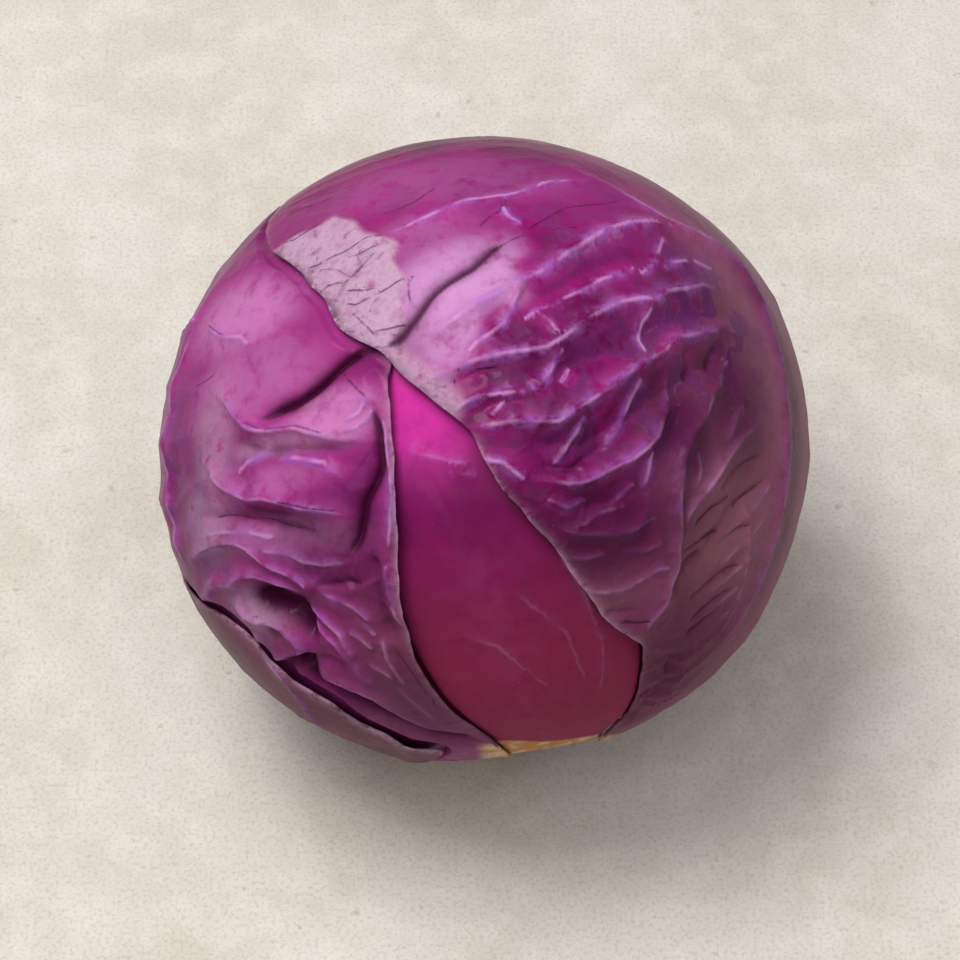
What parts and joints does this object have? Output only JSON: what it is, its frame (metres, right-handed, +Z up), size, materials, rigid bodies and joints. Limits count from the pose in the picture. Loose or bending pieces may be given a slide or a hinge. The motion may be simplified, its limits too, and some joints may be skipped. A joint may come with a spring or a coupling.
{
  "type": "cabbage head",
  "caption": "Round head of red cabbage lying on its side, with overlapping creased wrapper leaves, a tight heart and a cut stem butt.",
  "frame": {"origin": "on the table plane, under the middle of the head's bounding box", "axes": "+Z up from the table; -Y toward the side the head is looked at from; the crown leans back along +Y and up, the cut stem faces -Y and down"},
  "size_m": [0.1606, 0.1574, 0.1583],
  "materials": {
    "heart": "smooth waxy leaf",
    "stem_butt": "fibrous cut stem",
    "front_leaf": "smooth waxy leaf",
    "back_leaf": "smooth waxy leaf",
    "left_leaf": "creased waxy leaf",
    "right_leaf": "ribbed waxy leaf with a dry margin",
    "lower_leaf": "dull waxy leaf"
  },
  "bodies": {
    "root": {"heart": "heart", "stem_butt": "stem_butt", "front_leaf": "front_leaf", "back_leaf": "back_leaf", "left_leaf": "left_leaf", "right_leaf": "right_leaf", "lower_leaf": "lower_leaf"}
  },
  "joints": []
}
